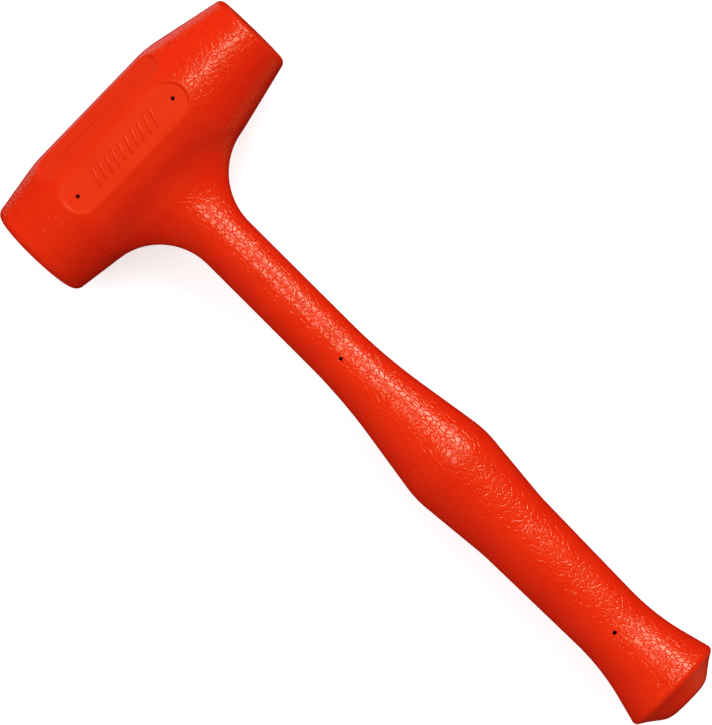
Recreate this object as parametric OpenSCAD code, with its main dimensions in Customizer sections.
// Dead blow mallet, cast in one piece around a steel canister and a steel rod.
// It lies on its side: +X is the small face, +Y the top of the head, +Z up.
// The origin is on the table, under the middle of the box that the mallet fills.

/* [Head] */
// Diameter of the straight barrel in the middle of the head
head_d = 47; // [42:0.5:58]
// Length of the barrel from the handle's axis towards the large face
barrel_large_l = 28.8; // [20:0.5:36]
// Length of the barrel from the handle's axis towards the small face
barrel_small_l = 29.1; // [20:0.5:36]
// Length of the taper that ends in the large face
large_end_l = 23.4; // [18:0.5:32]
// Length of the taper that ends in the small face
small_end_l = 32.3; // [24:0.1:40]
// Diameter of the large end where its sides would meet the face
large_face_d = 40.1; // [34:0.1:42]
// Diameter of the small end where its sides would meet the face
small_face_d = 32.3; // [26:0.1:38]
// Radius of the rounded rim of the large face
large_rim_r = 3.4; // [1:0.1:4]
// Radius of the rounded rim of the small face
small_rim_r = 2.8; // [1:0.1:4]
// Radius that eases the barrel into its two tapers
taper_blend_r = 46; // [20:1:80]

/* [Handle] */
// Length from the head's axis to the flat end of the butt
handle_l = 281.9; // [235:0.1:340]
// Diameter of the straight neck
neck_d = 21.8; // [18:0.1:26]
// Diameter of the swell that stops the hand sliding up, before it is rounded
swell_d = 35.7; // [30:0.1:40]
// Diameter where the palm's grip begins, below the swell
palm_d = 29.6; // [25:0.1:32]
// Diameter of the waist above the butt
waist_d = 27.2; // [24:0.1:30]
// Diameter of the butt's rim, before it is rounded
butt_rim_d = 39.3; // [32:0.1:42]
// Diameter of the step between the butt's rim and its end bevel
butt_step_d = 32.1; // [26:0.1:33]
// Diameter of the flat end of the butt
butt_flat_d = 18.2; // [12:0.1:24]
// Distance from the butt's end to where the neck starts to swell
neck_end_l = 164.7; // [150:0.1:180]
// Distance from the butt's end to the swell
swell_l = 120.2; // [105:0.1:130]
// Distance from the butt's end to where the palm's grip begins
palm_l = 88.5; // [75:0.1:98]
// Distance from the butt's end to the waist
waist_l = 30; // [24:0.1:40]
// Distance from the butt's end to its rim
butt_rim_l = 7.4; // [6:0.1:10]
// Distance from the butt's end to the step under its rim
butt_step_l = 5.3; // [3:0.1:5.8]

/* [Neck flare] */
// Radius of the flare between handle and barrel, seen from the side of the head
flare_r = 25.4; // [18:0.1:28]
// Height of the flare below the barrel
flare_h = 25.1; // [17:0.1:27]
// Radius of the flare between handle and barrel, seen along the head
flare_depth_r = 16; // [10:0.5:24]

/* [Pads] */
// Length of the four smooth flats on the barrel
pad_l = 59.6; // [40:0.1:64]
// Width of each flat
pad_w = 14.8; // [10:0.1:16]
// How far each flat is cut into the barrel
pad_depth = 1.1; // [0.5:0.1:2]
// How far the flats sit towards the large face
pad_shift = 0; // [-2:0.1:2]
// Angle between the side flat and the upper flat
pad_angle = 45; // [40:1:60]

/* [Locating pin holes] */
// Diameter of the holes that the mould's locating pins leave
pin_hole_d = 1.6; // [1:0.1:3]
// Distance between the two holes in each side flat
pad_pin_spacing = 49; // [30:0.1:54]
// Distance from the head's axis to the upper holes in the handle
upper_pin_l = 107.5; // [80:0.1:120]
// Distance from the butt's end to the lower holes in the handle
lower_pin_l = 36.2; // [30:0.1:60]

/* [Canister] */
// Outer diameter of the steel tube in the head
canister_d = 32; // [26:0.1:36]
// Wall of the tube
canister_wall = 2; // [1.2:0.1:3]
// Length of the tube
canister_l = 84; // [60:0.5:92]
// How far the tube sits towards the small face
canister_shift = 2; // [-2:0.5:4]
// Thickness of each end cap
cap_t = 5; // [3:0.5:8]
// How deep each cap sits in the tube
cap_recess = 3; // [2:0.1:6]
// Gap around a cap in the tube
cap_fit = 0.05; // [0.02:0.01:0.2]
// Leg of the ring weld that holds each cap
cap_weld = 2.4; // [1:0.1:3]

/* [Rod and socket] */
// Diameter of the steel rod in the handle
rod_d = 9.5; // [7:0.1:12]
// Distance from the rod's tail to the butt's end
rod_cover = 20; // [12:0.5:30]
// Gap around the rod in its socket
rod_fit = 0.05; // [0.02:0.01:0.2]
// Wall of the socket that the rod stands in
socket_wall = 3.2; // [2:0.1:5]
// Length of the socket below the canister
socket_l = 14; // [8:0.5:24]
// Leg of the weld between rod and socket
rod_weld_leg = 2.4; // [1:0.1:3]
// Leg of the weld between socket and canister
socket_weld_leg = 3; // [1.5:0.1:4]
// Number of grooves that key the rod into the handle
groove_count = 8; // [3:1:12]
// Width of each groove
groove_w = 3; // [1:0.1:5]
// Depth of each groove
groove_depth = 0.7; // [0.3:0.1:1.5]
// Distance between grooves
groove_pitch = 14; // [8:0.5:18]
// Diameter of the upset tail of the rod
tail_d = 14; // [10:0.5:18]
// Length of the upset tail
tail_l = 6; // [4:0.5:12]
// Bevel on the edges of the tail
tail_bevel = 1; // [0.5:0.1:2]

/* [Shot] */
// Diameter of one steel ball
shot_d = 4.76; // [3.5:0.01:8]
// Gap between neighbouring balls
shot_gap = 0.05; // [0.03:0.01:0.2]
// Gap between the balls and the canister
shot_clearance = 0.3; // [0.2:0.05:1]
// How far the shot slides each way
shot_travel = 9.5; // [3:0.5:14]
// Height of the heap's top layer above the canister's axis
shot_level = 4.5; // [-6:0.5:6]
// Slope of the ends of the heap
shot_slope = 65; // [35:5:80]

/* [Hidden] */

urethane_red = "#E02A12";
tube_steel = "#8E9296";
cap_steel = "#7C8084";
weld_steel = "#5E6064";
rod_steel = "#A3A7AB";
ball_steel = "#C9CCD0";

// How far a chord may lie from the arc that it follows
arc_tol = 0.02;
round_fn = 96;
hole_fn = 32;
ball_fn = 24;
// Past every surface, so that a cut goes right through
over = 1;

head_r = head_d / 2;
neck_r = neck_d / 2;
canister_r = canister_d / 2;
chamber_r = canister_r - canister_wall;
rod_r = rod_d / 2;
socket_ir = rod_r + rod_fit;
socket_or = socket_ir + socket_wall;
shot_r = shot_d / 2;

large_face_x = -(barrel_large_l + large_end_l);
small_face_x = barrel_small_l + small_end_l;

flare_end = head_r + flare_h;
flare_steps = 12;
// The blend sinks this far into the barrel, so that the two surfaces cross
flare_sink = 0.6;
// The flare stops this far below the barrel and turns into it
flare_lip = 0.4;
// The flare stands this proud of the neck, so that the two never share a face
flare_step = 0.15;
flare_angle = asin((flare_h - flare_lip) / flare_r);
ring_sides = 40;

canister_end = canister_l / 2;
chamber_end = canister_end - cap_recess - cap_t;
socket_end = canister_r + socket_l;
rod_end = handle_l - rod_cover;

// Corner radii of the handle's outline, from the neck to the butt
neck_end_r = 220;
swell_r = 40;
palm_r = 95;
waist_r = 87;
butt_rim_r = 2;
butt_step_r = 1.5;
butt_flat_r = 1.5;

// Outlines are lists of [distance along the axis, radius, corner radius].
head_outline = [
    [large_face_x, 0, 0],
    [large_face_x, large_face_d / 2, large_rim_r],
    [-barrel_large_l, head_r, taper_blend_r],
    [barrel_small_l, head_r, taper_blend_r],
    [small_face_x, small_face_d / 2, small_rim_r],
    [small_face_x, 0, 0],
];
handle_outline = [
    [head_r / 2, 0, 0],
    [head_r / 2, neck_r, 0],
    [handle_l - neck_end_l, neck_r, neck_end_r],
    [handle_l - swell_l, swell_d / 2, swell_r],
    [handle_l - palm_l, palm_d / 2, palm_r],
    [handle_l - waist_l, waist_d / 2, waist_r],
    [handle_l - butt_rim_l, butt_rim_d / 2, butt_rim_r],
    [handle_l - butt_step_l, butt_step_d / 2, butt_step_r],
    [handle_l, butt_flat_d / 2, butt_flat_r],
    [handle_l, 0, 0],
];

function unit(v) = v / norm(v);
function arc_steps(r, turn) = max(2, ceil(turn / (2 * acos(1 - min(arc_tol / r, 0.5)))));

// The arc of radius r that rounds the corner b between a and c.
function corner_arc(a, b, c, r) =
    let (
        u = unit(a - b),
        v = unit(c - b),
        half = acos(max(-1, min(1, u * v))) / 2,
        centre = b + unit(u + v) * (r / sin(half)),
        from = b + u * (r / tan(half)) - centre,
        to = b + v * (r / tan(half)) - centre,
        start = atan2(from[1], from[0]),
        swing = atan2(to[1], to[0]) - start,
        turn = swing > 180 ? swing - 360 : swing < -180 ? swing + 360 : swing,
        steps = arc_steps(r, abs(turn))
    )
    [for (i = [0:steps]) centre + r * [cos(start + turn * i / steps), sin(start + turn * i / steps)]];

function flat_point(p) = [p[0], p[1]];

function rounded(corners) = [
    for (i = [0:len(corners) - 1])
        each corners[i][2] == 0
            ? [flat_point(corners[i])]
            : corner_arc(
                flat_point(corners[i - 1]),
                flat_point(corners[i]),
                flat_point(corners[i + 1]),
                corners[i][2]
            ),
];

// The side flat faces the table, so the mallet rests on the head at the flat's two ends.
head_curve = rounded(head_outline);
rest_r = max(
    lookup(-pad_shift - pad_l / 2, head_curve),
    lookup(-pad_shift + pad_l / 2, head_curve),
    butt_rim_d / 2
);
// From the crossing of the two axes to the origin on the table
to_table = [-(large_face_x + small_face_x) / 2, (handle_l - head_r) / 2, rest_r];

// Turns an outline of [distance, radius] around +Z.
module turned(outline) {
    rotate_extrude($fn = round_fn) polygon([for (p = outline) [p[1], p[0]]]);
}

module along_head() {
    rotate([0, 90, 0]) children();
}

// Distances run from the head's axis towards the butt.
module along_handle() {
    rotate([90, 0, 0]) children();
}

// Moves a sub-part from the crossing of the two axes onto the table.
module on_table() {
    translate(to_table) children();
}

// The neck widens into an ellipse whose long side lies along the barrel.
flare_side_r = neck_r + flare_depth_r;
flare_side_end = sqrt(pow(head_r - flare_sink + flare_depth_r, 2) - pow(flare_side_r, 2));
flare_top = flare_side_end * (head_r - flare_sink) / (head_r - flare_sink + flare_depth_r);
flare_a_max = neck_r + flare_r * (1 - cos(flare_angle));

function flare_depth(d) =
    d >= flare_side_end
        ? neck_r
        : flare_side_r - sqrt(pow(flare_depth_r, 2) - pow(flare_side_end - d, 2));

// Each ring is [distance, half length along the barrel, half depth].
flare_rings = [
    for (i = [0:flare_steps])
        let (q = flare_angle * i / flare_steps, d = flare_end - flare_r * sin(q))
        [d, neck_r + flare_r * (1 - cos(q)), flare_depth(d)],
    for (i = [0:4])
        let (d = head_r - 1 + (flare_top - head_r + 1) * i / 4)
        [d, flare_a_max * (0.92 - 0.04 * i), flare_depth(d)],
    [flare_top * 0.8, flare_a_max * 0.6, flare_depth(flare_top) * 0.8],
];

module neck_flare() {
    rings = len(flare_rings);
    points = [
        for (ring = flare_rings, i = [0:ring_sides - 1])
            let (t = 360 * i / ring_sides, a = ring[1] + flare_step, b = ring[2] + flare_step)
            [a * cos(t), -ring[0], b * sin(t)],
    ];
    last = (rings - 1) * ring_sides;
    sides = [
        for (k = [0:rings - 2], i = [0:ring_sides - 1])
            let (
                j = (i + 1) % ring_sides,
                a = k * ring_sides + i,
                b = k * ring_sides + j
            )
            each [[a, b, b + ring_sides], [a, b + ring_sides, a + ring_sides]],
    ];
    low_end = [for (i = [ring_sides - 1:-1:0]) i];
    high_end = [for (i = [0:ring_sides - 1]) last + i];
    polyhedron(points, concat(sides, [low_end, high_end]));
}

// A flat's cutter: a long slab with round ends, standing on the flat's plane.
module pad_cutter() {
    straight = pad_l - pad_w;
    translate([-pad_shift, 0, head_r - pad_depth])
        linear_extrude(pad_depth + over) {
            square([straight, pad_w], center = true);
            for (side = [-1, 1]) translate([side * straight / 2, 0]) circle(d = pad_w, $fn = round_fn);
        }
}

module pad_cutters() {
    for (angle = [0, -pad_angle, pad_angle - 180, 180]) rotate([angle, 0, 0]) pad_cutter();
}

// The pins stood on the steel, so each hole ends there.
module pin_holes() {
    for (side = [-1, 1])
        translate([side * pad_pin_spacing / 2 - pad_shift, 0, -head_r - over])
            cylinder(d = pin_hole_d, h = 2 * (head_r + over), $fn = hole_fn);
    for (d = [upper_pin_l, handle_l - lower_pin_l])
        translate([0, -d, -swell_d / 2 - over])
            cylinder(d = pin_hole_d, h = swell_d + 2 * over, $fn = hole_fn);
}

// The rod's outline, which the casting follows.
function groove(k) =
    let (d = rod_end - tail_l - groove_pitch * (groove_count - k))
    [
        [d - groove_w / 2 - groove_depth, rod_r],
        [d - groove_w / 2, rod_r - groove_depth],
        [d + groove_w / 2, rod_r - groove_depth],
        [d + groove_w / 2 + groove_depth, rod_r],
    ];

rod_outline = [
    [canister_r, 0],
    [canister_r, rod_r],
    for (k = [0:groove_count - 1]) each groove(k),
    [rod_end - tail_l - (tail_d / 2 - rod_r), rod_r],
    [rod_end - tail_l, tail_d / 2],
    [rod_end - tail_bevel, tail_d / 2],
    [rod_end, tail_d / 2 - tail_bevel],
    [rod_end, 0],
];

// The canister with its caps and ring welds, filled in, as the casting meets it.
canister_outline = [
    [-canister_end + cap_recess, 0],
    [-canister_end + cap_recess, chamber_r - cap_weld],
    [-canister_end + cap_recess - cap_weld, chamber_r],
    [-canister_end, chamber_r],
    [-canister_end, canister_r],
    [canister_end, canister_r],
    [canister_end, chamber_r],
    [canister_end - cap_recess + cap_weld, chamber_r],
    [canister_end - cap_recess, chamber_r - cap_weld],
    [canister_end - cap_recess, 0],
];

// The socket with the rod's weld on its lip, filled in.
socket_outline = [
    [0, 0],
    [0, socket_or],
    [socket_end, socket_or],
    [socket_end, rod_r + rod_weld_leg],
    [socket_end + rod_weld_leg, rod_r],
    [socket_end + rod_weld_leg, 0],
];

module socket_weld_cone() {
    foot = canister_r + socket_weld_leg;
    along_handle() turned([
        [canister_r / 2, 0],
        [canister_r / 2, socket_or + (foot - canister_r / 2) * 0.55],
        [foot, socket_or],
        [foot, 0],
    ]);
}

module steel_insert() {
    translate([canister_shift, 0, 0]) along_head() turned(canister_outline);
    along_handle() turned(socket_outline);
    socket_weld_cone();
    along_handle() turned(rod_outline);
}

module urethane_body() {
    color(urethane_red)
        on_table()
            difference() {
                union() {
                    along_head() turned(head_curve);
                    neck_flare();
                    along_handle() turned(rounded(handle_outline));
                }
                pad_cutters();
                pin_holes();
                steel_insert();
            }
}

module canister_tube() {
    color(tube_steel)
        on_table()
            translate([canister_shift, 0, 0])
                along_head()
                    difference() {
                        cylinder(r = canister_r, h = canister_l, center = true, $fn = round_fn);
                        cylinder(r = chamber_r, h = canister_l + 2 * over, center = true, $fn = round_fn);
                    }
}

// side is -1 for the large end and 1 for the small end.
module canister_cap(side) {
    middle = canister_end - cap_recess - cap_t / 2;
    color(cap_steel)
        on_table()
            translate([canister_shift + side * middle, 0, 0])
                along_head() cylinder(r = chamber_r - cap_fit, h = cap_t, center = true, $fn = round_fn);
}

module cap_weld_ring(side) {
    seat = canister_end - cap_recess;
    color(weld_steel)
        on_table()
            translate([canister_shift, 0, 0])
                along_head()
                    mirror([0, 0, side < 0 ? 1 : 0])
                        turned([
                            [seat, chamber_r - cap_weld],
                            [seat + cap_weld, chamber_r],
                            [seat, chamber_r],
                        ]);
}

module rod_socket() {
    color(tube_steel)
        on_table()
            difference() {
                along_handle()
                    difference() {
                        cylinder(r = socket_or, h = socket_end, $fn = round_fn);
                        translate([0, 0, -over]) cylinder(r = socket_ir, h = socket_end + 2 * over, $fn = round_fn);
                    }
                along_head() cylinder(r = canister_r, h = canister_l, center = true, $fn = round_fn);
            }
}

module socket_weld() {
    color(weld_steel)
        on_table()
            difference() {
                socket_weld_cone();
                along_handle() cylinder(r = socket_or, h = socket_end, $fn = round_fn);
                along_head() cylinder(r = canister_r, h = canister_l, center = true, $fn = round_fn);
            }
}

module handle_rod() {
    color(rod_steel) on_table() along_handle() turned(rod_outline);
}

module rod_weld() {
    color(weld_steel)
        on_table()
            along_handle()
                turned([
                    [socket_end, rod_r],
                    [socket_end, rod_r + rod_weld_leg],
                    [socket_end + rod_weld_leg, rod_r],
                ]);
}

// The balls lie in close-packed layers on the low side of the chamber.
shot_pitch = shot_d + shot_gap;
shot_row = shot_pitch * sqrt(3) / 2;
shot_layer = shot_pitch * sqrt(2 / 3);
shot_reach = chamber_r - shot_clearance - shot_r;
shot_half_l = chamber_end - shot_travel - shot_clearance - shot_r;
shot_layers = floor((shot_reach + shot_level) / shot_layer);
shot_rows = ceil(shot_reach / shot_row) + 1;
shot_columns = ceil(shot_half_l / shot_pitch) + 1;

shot_places = [
    for (k = [0:shot_layers], j = [-shot_rows:shot_rows], i = [-shot_columns:shot_columns])
        let (
            odd = k % 2,
            x = (i + (abs(j) % 2 + odd) / 2) * shot_pitch,
            y = j * shot_row + odd * shot_row / 3,
            z = k * shot_layer - shot_reach,
            end = shot_half_l - k * shot_layer / tan(shot_slope)
        )
        if (norm([y, z]) <= shot_reach && abs(x) <= end) [x, y, z],
];

module steel_shot() {
    color(ball_steel)
        on_table()
            translate([canister_shift, 0, 0])
                for (place = shot_places) translate(place) sphere(d = shot_d, $fn = ball_fn);
}

urethane_body();
canister_tube();
canister_cap(-1);  // canister_cap_large_end
canister_cap(1);  // canister_cap_small_end
cap_weld_ring(-1);  // cap_weld_large_end
cap_weld_ring(1);  // cap_weld_small_end
rod_socket();
socket_weld();
handle_rod();
rod_weld();
steel_shot();
